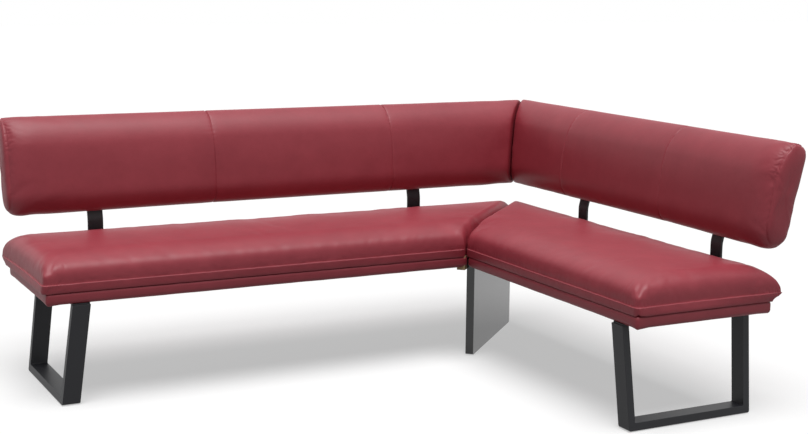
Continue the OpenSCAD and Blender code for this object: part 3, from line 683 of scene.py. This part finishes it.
def stitches(form, cushion, sizes, material):
    """A row of stitches along the lip of the seat's band, pressed onto the leather."""
    side = form.side
    out = 0.93 * sizes.band_out
    steps = [i / 400 for i in range(401)]
    line = [(t, 0) for t in steps] + [(1, t) for t in steps[1:]] + [(1 - t, 1) for t in steps[1:]]
    points = [side.place(*form.plan(a, b, out, 0.98), form.seam_z - 0.8 * MM) for a, b in line]
    hide = BVHTree.FromObject(cushion, bpy.context.evaluated_depsgraph_get())
    stitch = bmesh.new()
    bmesh.ops.create_uvsphere(
        stitch, u_segments=6, v_segments=4, radius=1.0, matrix=Matrix.Rotation(math.pi / 2, 4, "Y"))
    half = Matrix.Diagonal((0.36 * sizes.stitch_pitch, 0.5 * sizes.stitch_width, 0.5 * sizes.stitch_width, 1))
    places = []
    due = 0.0
    for p, q in zip(points, points[1:]):
        length = (q - p).length
        while due < length:
            spot, normal = hide.find_nearest(p.lerp(q, due / length))[:2]
            along = (q - p).normalized()
            across = normal.cross(along).normalized()
            turn = Matrix((along, across, along.cross(across))).transposed().to_4x4()
            places.append(Matrix.Translation(spot + 0.25 * sizes.stitch_width * normal) @ turn @ half)
            due += sizes.stitch_pitch
        due -= length
    bm = repeated(stitch, places)
    return finish_piece(f"{side.name}_seat_stitches", bm, material, [])


# Backrests

# Padding round the backrest's line: in front at the foot and at the fullest, behind it, and in front at the top
BACK_LOW = 55 * MM
BACK_BULGE = 110 * MM
BACK_REAR = 20 * MM
TOP_FRONT = 33 * MM
FOOT = -11 * MM
# The free end: its dome, how thin it gets, the lift of its lower corner and the droop of its lower edge
BACK_DOME = 15 * MM
BACK_THIN = 0.78
LOW_CORNER = 13 * MM
END_DROOPS = {"long": 5 * MM, "short": 9 * MM}
DROOP_LENGTH = 420 * MM
FOLD_LENGTH = 34 * MM
BACK_FOLDS = 0.22
BACK_PUCKER = 2.2
# Distances of the panel seams from the free end
SEAMS = {"long": (1487 * MM, 758 * MM), "short": (1188 * MM, 564 * MM)}
PANEL_STEP = 26 * MM
SEAM_REACH = 18 * MM
TAPER_REACH = 95 * MM
# Rings in mm: distance from the mitre and size
MITRE_RINGS = ((0.3, 0.30), (0.15, 0.68), (0.0, 0.92), (0.8, 0.968), (3.0, 0.988), (8, 0.998))
# Distance from a panel seam, size and hold
SEAM_RINGS = (
    (-8, 1.0, 0.6), (-2.0, 1.0, 1), (-0.7, 0.970, 1), (0.7, 0.970, 1), (2.0, 1.0, 1), (8, 1.0, 0.6), (18, 1, 0),
)
# Distance before the seam of the end and share of the end's thinness
TAPER_RINGS = (
    (80, 0.03), (66, 0.08), (52, 0.14), (40, 0.23), (30, 0.34), (22, 0.46), (15, 0.60), (9, 0.76), (4.5, 0.90),
)
# Distance past the seam of the end and size: a groove between two rounded lips
GROOVE_RINGS = ((-3.0, 1.0), (-1.1, 0.998), (0.0, 0.982), (1.1, 0.987), (3.4, 0.982))
# Share of the dome that is still to come, and size
DOME_RINGS = ((0.56, 0.948), (0.38, 0.89), (0.23, 0.80), (0.11, 0.65), (0.03, 0.42), (0.0, 0.16))


class Back:
    """The form of one backrest."""

    def __init__(self, side, sizes):
        self.side = side
        self.sizes = sizes
        self.sin = math.sin(sizes.lean)
        self.cos = math.cos(sizes.lean)
        self.height = (BACK_TOP - sizes.back_start - TOP_FRONT * self.sin) / self.cos
        self.core = Vector((-0.35 * BACK_BULGE, 0.48 * self.height))
        self.pinch = Vector((BACK_REAR, 0.6 * self.height))

    def outline(self, steps):
        """Points of the section: padding behind the backrest's line, and height up the slope."""
        b, r, w = BACK_BULGE, BACK_REAR, self.height
        p = (
            (-BACK_LOW, FOOT), (-0.82 * b, 0.085 * w), (-0.93 * b, 0.28 * w), (-b, 0.58 * w),
            (-0.965 * b, 0.73 * w), (-0.81 * b, 0.86 * w), (-0.55 * b, 0.965 * w), (-TOP_FRONT, w),
            (0.05 * r, 0.975 * w), (0.75 * r, 0.935 * w), (r, 0.85 * w), (r, 0.50 * w), (0.97 * r, 0.18 * w),
            (0.65 * r, 0.045 * w), (-0.5 * r, FOOT),
        )
        p = [Vector(q) for q in p]
        found = []
        for i in range(len(p)):
            a, b0, c, d = p[i - 1], p[i], p[(i + 1) % len(p)], p[(i + 2) % len(p)]
            for k in range(steps):
                t = k / steps
                bend = t * t * (2 * a - 5 * b0 + 4 * c - d) + t ** 3 * (3 * b0 - a - 3 * c + d)
                found.append(0.5 * (2 * b0 + t * (c - a) + bend))
        return found

    def depth(self, p):
        return self.sizes.back_line + p.x * self.cos + p.y * self.sin

    def shaped(self, p, size, share):
        thin = 1 - (1 - BACK_THIN) * share
        m = Vector((self.pinch.x + thin * (p.x - self.pinch.x), p.y))
        m.y += LOW_CORNER * (share * max(0.0, 1 - p.y / (0.35 * self.height))) ** 2
        return self.core + size * (m - self.core)

    def ring(self, outline, place, size, share, mitred=False):
        """One ring of the cushion: u from the inner corner, or distance from the mitre."""
        found = []
        for p in outline:
            q = self.shaped(p, size, share)
            s = self.depth(q)
            u = place * DIAGONAL - s if mitred else place
            swell = self.sizes.undulation * wave(Vector((u, q.y, 0)), 5.0, 11.0)
            swell *= (1 - share) * max(0.0, size - 0.9) * 10
            z = self.sizes.back_start - q.x * self.sin + q.y * self.cos
            if not mitred:
                near = max(0.0, 1 - (self.side.back_end - u) / DROOP_LENGTH)
                z -= END_DROOPS[self.side.name] * near ** 1.5 * max(0.0, 1 - q.y / (0.5 * self.height))
            found.append(Vector((u, s - max(swell, -swell * 0.3), z)))
        return found


def back_rings(form, outline):
    """Rings of a backrest from the mitre to the free end, each with how far it is held and folded."""
    side = form.side
    gap = side.back_gap
    rings = [(form.ring(outline, gap + d * MM, size, 0, True), 1.0, 0.0) for d, size in MITRE_RINGS]
    rings.append((form.ring(outline, gap + 22 * MM, 1.0, 0, True), 0.5, 0.0))
    first, second = (side.back_end - d for d in SEAMS[side.name])
    stops = [first, second, side.back_end - BACK_DOME]
    last = rings[-1][0]
    for k, stop in enumerate(stops):
        seam = k < 2
        near = stop - (SEAM_REACH if seam else TAPER_REACH)
        goal = form.ring(outline, near, 1, 0)
        length = sum((g - l).length for g, l in zip(goal, last)) / len(goal)
        steps = max(2, round(length / PANEL_STEP))
        for i in range(1, steps + 1):
            rings.append(([l.lerp(g, i / steps) for l, g in zip(last, goal)], 0.0, 0.0))
        if seam:
            for d, size, hold in SEAM_RINGS:
                rings.append((form.ring(outline, stop + d * MM, size, 0), hold, 0.35 if hold == 1 else 0.1))
        last = rings[-1][0]
    for d, share in TAPER_RINGS:
        folds = max(0.0, 1 - d * MM / FOLD_LENGTH)
        rings.append((form.ring(outline, stops[2] - d * MM, 1, share), 1.0 if d < 20 else 0.3, folds))
    for d, size in GROOVE_RINGS:
        rings.append((form.ring(outline, stops[2] + d * MM, size, 1), 1.0, 0.8))
    for d, size in DOME_RINGS:
        rings.append((form.ring(outline, side.back_end - d * BACK_DOME, size, 1), 1.0, 0.25 * d))
    return rings


def loft(bm, rings, layers=()):
    """Joins rings of equal length by extruding the first from one to the next."""
    order = bm.verts.layers.int.new("order")
    values = [bm.verts.layers.float.new(name) for name in layers]
    verts = [bm.verts.new(p) for p in rings[0][0]]
    edges = [bm.edges.new((verts[i - 1], verts[i])) for i in range(len(verts))]
    for i, v in enumerate(verts):
        v[order] = i
    ends = [edges]
    for ring, *extra in rings:
        if ring is not rings[0][0]:
            edges, verts = next_ring(bm, edges)
        for v in verts:
            v.co = ring[v[order]]
            for layer, value in zip(values, extra):
                v[layer] = value
    ends.append(edges)
    return ends


def back_cushion(side, sizes, material):
    form = Back(side, sizes)
    bm = bmesh.new()
    outline = form.outline(7)
    ends = loft(bm, back_rings(form, outline), ("held", "fold"))
    order = bm.verts.layers.int["order"]
    held = bm.verts.layers.float["held"]
    fold = bm.verts.layers.float["fold"]
    for v in bm.verts:
        spot = outline[v[order]]
        v[held] = 1.0 if spot.x > 0.6 * BACK_REAR else max(0.15, v[held])
        v[fold] *= 0.2 + 0.8 * max(0.0, spot.y / form.height)
    for edges in ends:
        bmesh.ops.holes_fill(bm, edges=edges, sides=0)
    bmesh.ops.transform(bm, matrix=side.turn(), verts=bm.verts)
    bmesh.ops.recalc_face_normals(bm, faces=bm.faces)
    nodes = [f"{side.name}_back_cushion"]
    piece = finish_piece(f"{side.name}_back_leather", numbered(bm), material, nodes)
    settle(piece, BACK_FOLDS)
    soften(piece, 1)
    along, across = 14, 78
    grain = (along, across, across) if side.mirrored else (across, along, across)
    pucker(piece, BACK_PUCKER * sizes.pucker, grain)
    return piece


# Base covers

# Rounding of the long edges and of the free corners
EDGE_R = 13 * MM
COVER_R = 10 * MM
# Width of the leather folded under and over the frame, and its thickness there
FOLD = 28 * MM
TOP_FOLD = 14 * MM
LEATHER = 2 * MM
# Distance of each cover from the diagonal, and the blunting of its corner there
FACES = {"long": 8.6 * MM, "short": 21.3 * MM}
NOSE = 2 * MM
# The lower edge: how high the waves reach up the cover, and how far it sags and is drawn down at the corners
SAG_HEIGHT = 22 * MM
FRONT_SAG = 1.5 * MM
TIP_DROOPS = (6.5 * MM, 3 * MM)
TIP_REACH = 46 * MM


def cover_section():
    """The cover's section: distance in from the outline, and height."""
    arc = [math.radians(a) for a in range(0, 91, 18)]
    top = [(EDGE_R - EDGE_R * math.sin(a), BASE_TOP - EDGE_R + EDGE_R * math.cos(a)) for a in arc]
    low = [(EDGE_R - EDGE_R * math.cos(a), BASE_Z + EDGE_R - EDGE_R * math.sin(a)) for a in arc]
    inner = [
        (FOLD, BASE_Z), (FOLD, BASE_Z + LEATHER), (EDGE_R, BASE_Z + LEATHER),
        (EDGE_R, BASE_TOP - LEATHER), (TOP_FOLD, BASE_TOP - LEATHER),
    ]
    return [(TOP_FOLD, BASE_TOP), *top, *low, *inner]


def base_cover(side, material):
    """Leather stretched round the frame, with its corners pulled to a point below."""
    section = cover_section()
    cut = FACES[side.name] * DIAGONAL
    run = [0.0, 0.006, *(i / 40 for i in range(1, 41))]
    stations = [("mitre", t) for t in (56 * MM, 36 * MM, 18 * MM, 8 * MM)]
    stations += [("front", t) for t in run] + [("near", a) for a in range(15, 91, 15)]
    stations += [("end", t / 12) for t in range(1, 12)] + [("far", a) for a in range(0, 91, 15)]
    stations += [("back", t) for t in run[1:]]

    def spot(kind, t, inset):
        f, b, e = inset, SEAT_DEPTH - inset, side.base_end - inset
        r = max(COVER_R - inset, 1 * MM)
        if kind == "mitre":
            return min(cut + inset * DIAGONAL - f - t, 2 * NOSE + inset), f + t
        if kind == "front":
            u0 = min(cut + inset * DIAGONAL - f, NOSE + inset)
            return u0 + (e - r - u0) * t, f + (NOSE if t == 0 else 0)
        if kind == "near":
            a = math.radians(t - 90)
            return e - r + r * math.cos(a), f + r + r * math.sin(a)
        if kind == "end":
            return e, f + r + (b - f - 2 * r) * t
        if kind == "far":
            a = math.radians(t)
            return e - r + r * math.cos(a), b - r + r * math.sin(a)
        u0 = cut - b
        return e - r + (u0 - e + r) * t, b

    rings = []
    tips = [(Vector((side.base_end, s)), drop) for s, drop in zip((0, SEAT_DEPTH), TIP_DROOPS)]
    for kind, t in stations:
        ring = []
        for inset, z in section:
            u, s = spot(kind, t, inset)
            at = Vector((u, s, 0))
            low = max(0.0, 1 - (z - BASE_Z) / SAG_HEIGHT)
            droop = sum(drop * max(0.0, 1 - (at.xy - tip).length / TIP_REACH) ** 2 for tip, drop in tips)
            sag = 0.9 * MM * wave(at, 11.0, 2.0) + 0.5 * MM * wave(at, 34.0, 4.0)
            if kind in ("front", "back") and inset < 1 * MM:
                swell = 1.0 * MM * wave(Vector((u, s, z * 2)), 10.0, 8.0) + 0.5 * MM
                s += swell if kind == "back" else -swell
            ring.append(Vector((u, s, z - (droop + sag + FRONT_SAG) * low)))
        rings.append((ring,))
    bm = bmesh.new()
    ends = loft(bm, rings)
    for edges in ends:
        bmesh.ops.contextual_create(bm, geom=edges)
    bmesh.ops.transform(bm, matrix=side.turn(), verts=bm.verts)
    bmesh.ops.recalc_face_normals(bm, faces=bm.faces)
    nodes = [f"{side.name}_base_cover"]
    piece = finish_piece(f"{side.name}_base_leather", numbered(bm), material, nodes)
    return piece


# Steel and board


def dressed(node, material, radius):
    """A copy of a solid with its loose corners merged and its edges rounded."""
    bm = bmesh.new()
    bm.from_mesh(frame["nodes"][node].data)
    bmesh.ops.remove_doubles(bm, verts=bm.verts, dist=0.01 * MM)
    bmesh.ops.dissolve_limit(bm, angle_limit=math.radians(0.4), verts=bm.verts, edges=bm.edges)
    sharp = [e for e in bm.edges if len(e.link_faces) == 2 and e.calc_face_angle(0) > math.radians(40)]
    bmesh.ops.bevel(
        bm, geom=sharp, offset=radius, segments=3, profile=0.5, affect="EDGES",
        clamp_overlap=True, material=-1)
    bmesh.ops.recalc_face_normals(bm, faces=bm.faces)
    piece = finish_piece(f"{node}_body", bm, material, [node])
    shading = piece.modifiers.new("shading", "WEIGHTED_NORMAL")
    shading.keep_sharp = True
    return piece


# Light, floor and camera

CAMERA_PLACE = (CORNER_X - 2.620506, CORNER_Y - 4.620676, 1.42379)
CAMERA_YAW = 0.495555
CAMERA_PITCH = 0.162957
CAMERA_ROLL = 0.014383
CAMERA_LENS = 65.19
CAMERA_SHIFT = (-0.0438, -0.0078)
LAMP_PLACE = (-0.06, -0.19, 1.0)
LAMP_SPREAD = math.radians(46)
LAMP_POWER = 2.8
ROOM_LIGHT = 0.14
# Grey of the floor as the camera and the leather see it, and as it lights the bench from below
FLOOR_SHADES = (0.55, 0.57)
FLOOR_BOUNCE = 0.21
FLOOR_GLOW = 0.47


class BENCH_OT_stage(bpy.types.Operator):
    """Pale floor, one broad lamp and the camera at the photograph's angle"""

    bl_idname = "bench.stage"
    bl_label = "Floor, lamp and camera"

    def execute(self, context):
        scene = context.scene
        scene.view_settings.view_transform = "Standard"
        self.floor()
        self.world(scene)
        self.lamp()
        self.camera(scene)
        return {"FINISHED"}

    def floor(self):
        bm = bmesh.new()
        bmesh.ops.create_grid(bm, x_segments=1, y_segments=1, size=30.0)
        mesh = bpy.data.meshes.new("floor")
        bm.to_mesh(mesh)
        bm.free()
        floor = bpy.data.objects.new("floor", mesh)
        bpy.context.scene.collection.objects.link(floor)
        recipe = material_recipe("pale_floor")
        seen = recipe.node("ShaderNodeLightPath", out="Is Camera Ray")
        cloud = recipe.noise(recipe.place(), 1.5, 2.0)
        pale = recipe.blend(cloud, *(opaque(3 * [shade]) for shade in FLOOR_SHADES))
        colour = recipe.blend(seen, opaque(3 * [FLOOR_BOUNCE]), pale)
        glow = recipe.blend(recipe.white_seen(), opaque((0, 0, 0)), opaque((1, 1, 1)))
        mesh.materials.append(recipe.finish(
            Base_Color=colour, Roughness=1.0, Specular_IOR_Level=0.0,
            Emission_Color=glow, Emission_Strength=FLOOR_GLOW))

    def world(self, scene):
        """Soft light from all round; the camera and glossy surfaces see a white room."""
        recipe = Recipe(bpy.data.worlds.new("studio"), "ShaderNodeOutputWorld")
        strength = ROOM_LIGHT + recipe.white_seen() * (1 - ROOM_LIGHT)
        glow = recipe.node("ShaderNodeBackground", {}, {"Color": opaque((1, 1, 1)), "Strength": strength})
        scene.world = recipe.end(glow)

    def lamp(self):
        """A broad lamp far overhead."""
        light = bpy.data.lights.new("overhead", "SUN")
        light.angle = LAMP_SPREAD
        light.energy = LAMP_POWER
        lamp = bpy.data.objects.new("overhead", light)
        lamp.location = 4 * Vector(LAMP_PLACE)
        lamp.rotation_euler = Vector(LAMP_PLACE).to_track_quat("Z", "Y").to_euler()
        bpy.context.scene.collection.objects.link(lamp)

    def camera(self, scene):
        cy, sy = math.cos(CAMERA_YAW), math.sin(CAMERA_YAW)
        cp, sp = math.cos(CAMERA_PITCH), math.sin(CAMERA_PITCH)
        cr, sr = math.cos(CAMERA_ROLL), math.sin(CAMERA_ROLL)
        ahead = Vector((sy * cp, cy * cp, -sp))
        right = Vector((cy, -sy, 0))
        up = right.cross(ahead)
        right, up = cr * right + sr * up, cr * up - sr * right
        lens = bpy.data.cameras.new("camera")
        lens.lens = CAMERA_LENS
        lens.shift_x, lens.shift_y = CAMERA_SHIFT
        camera = bpy.data.objects.new("camera", lens)
        turn = Matrix((right, up, -ahead)).transposed().to_4x4()
        camera.matrix_world = Matrix.Translation(CAMERA_PLACE) @ turn
        scene.collection.objects.link(camera)
        scene.camera = camera


MATERIALS = {}


class BENCH_OT_finishes(bpy.types.Operator):
    """Makes every finish and gives each solid its own"""

    bl_idname = "bench.finishes"
    bl_label = "Finishes"

    def execute(self, context):
        colours = context.scene.bench_colours
        MATERIALS.update(
            leather=leather_material("hide", colours),
            # The base covers use the seats' leather at 0.92 of its colour, which paints in the shade under the
            # cushions' overhang.
            base_leather=leather_material("base_hide_painted_shade", colours, 0.92),
            thread=thread_material(colours),
            metal=coat_material(colours),
            panel=board_material(colours),
            wood=wood_material("softwood", colours, (0, 0, math.radians(-45))),
            plywood=wood_material("plywood", colours, (0, 0, 0), 1.15),
            webbing=cloth_material("webbing", (0.035, 0.035, 0.04), 420.0),
            lining=cloth_material("lining", (0.014, 0.014, 0.016), 700.0),
            zinc=zinc_material(),
            glide=glide_material(),
        )
        slots = {p["node"]: p["material_slot"] for p in frame["record"]["subparts"]}
        for name, solid in frame["nodes"].items():
            solid.data.materials.clear()
            solid.data.materials.append(MATERIALS[slots[name]])
        return {"FINISHED"}


class BENCH_OT_seats(bpy.types.Operator):
    """Crowned seat cushions with a sewn, padded band and a topstitched seam"""

    bl_idname = "bench.seats"
    bl_label = "Seat cushions"

    def execute(self, context):
        sizes = context.scene.bench_sizes
        for side in SIDES:
            form, cushion = seat_cushion(side, sizes, MATERIALS["leather"])
            stitches(form, cushion, sizes, MATERIALS["thread"])
        return {"FINISHED"}


class BENCH_OT_backs(bpy.types.Operator):
    """Leaning backrests with panel seams and domed ends"""

    bl_idname = "bench.backs"
    bl_label = "Backrests"

    def execute(self, context):
        for side in SIDES:
            back_cushion(side, context.scene.bench_sizes, MATERIALS["leather"])
        return {"FINISHED"}


class BENCH_OT_base(bpy.types.Operator):
    """Leather covers round the seat frames"""

    bl_idname = "bench.base"
    bl_label = "Base covers"

    def execute(self, context):
        for side in SIDES:
            base_cover(side, MATERIALS["base_leather"])
        return {"FINISHED"}


class BENCH_OT_steel(bpy.types.Operator):
    """Struts and sleds of powder-coated steel, with their plates and glides"""

    bl_idname = "bench.steel"
    bl_label = "Steel"

    def execute(self, context):
        edge = context.scene.bench_sizes.edge
        for side in SIDES:
            for part in ("end_strut", "corner_strut"):
                dressed(f"{side.name}_{part}", MATERIALS["metal"], edge)
            dressed(f"{side.name}_sled_frame", MATERIALS["metal"], 2 * edge)
            dressed(f"{side.name}_sled_plate", MATERIALS["metal"], 0.6 * edge)
        for node in ("long_sled_glides", "short_sled_glides", "panel_glides"):
            dressed(node, MATERIALS["glide"], 0.6 * edge)
        return {"FINISHED"}


class BENCH_OT_board(bpy.types.Operator):
    """The lacquered corner panel and the bare batten beside it"""

    bl_idname = "bench.board"
    bl_label = "Corner panel and cleat"

    def execute(self, context):
        edge = context.scene.bench_sizes.edge
        dressed("corner_panel", MATERIALS["panel"], 1.5 * edge)
        dressed("corner_cleat", MATERIALS["wood"], 0.7 * edge)
        return {"FINISHED"}


class BENCH_PT_panel(bpy.types.Panel):
    bl_label = "Corner bench"
    bl_idname = "BENCH_PT_panel"
    bl_space_type = "VIEW_3D"
    bl_region_type = "UI"
    bl_category = "Bench"

    def draw(self, context):
        for name in STEPS:
            self.layout.operator(f"bench.{name}")
        for group in (context.scene.bench_sizes, context.scene.bench_colours):
            for key in group.__annotations__:
                self.layout.prop(group, key)


STEPS = ("finishes", "seats", "backs", "base", "steel", "board", "stage")
CLASSES = (
    BenchSizes, BenchColours, BENCH_OT_stage, BENCH_OT_finishes, BENCH_OT_seats, BENCH_OT_backs,
    BENCH_OT_base, BENCH_OT_steel, BENCH_OT_board, BENCH_PT_panel,
)


def register():
    for kind in CLASSES:
        bpy.utils.register_class(kind)
    bpy.types.Scene.bench_sizes = PointerProperty(type=BenchSizes)
    bpy.types.Scene.bench_colours = PointerProperty(type=BenchColours)


def unregister():
    del bpy.types.Scene.bench_colours
    del bpy.types.Scene.bench_sizes
    for kind in reversed(CLASSES):
        bpy.utils.unregister_class(kind)


def main():
    register()
    for name in STEPS:
        getattr(bpy.ops.bench, name)()


if __name__ == "__main__":
    main()
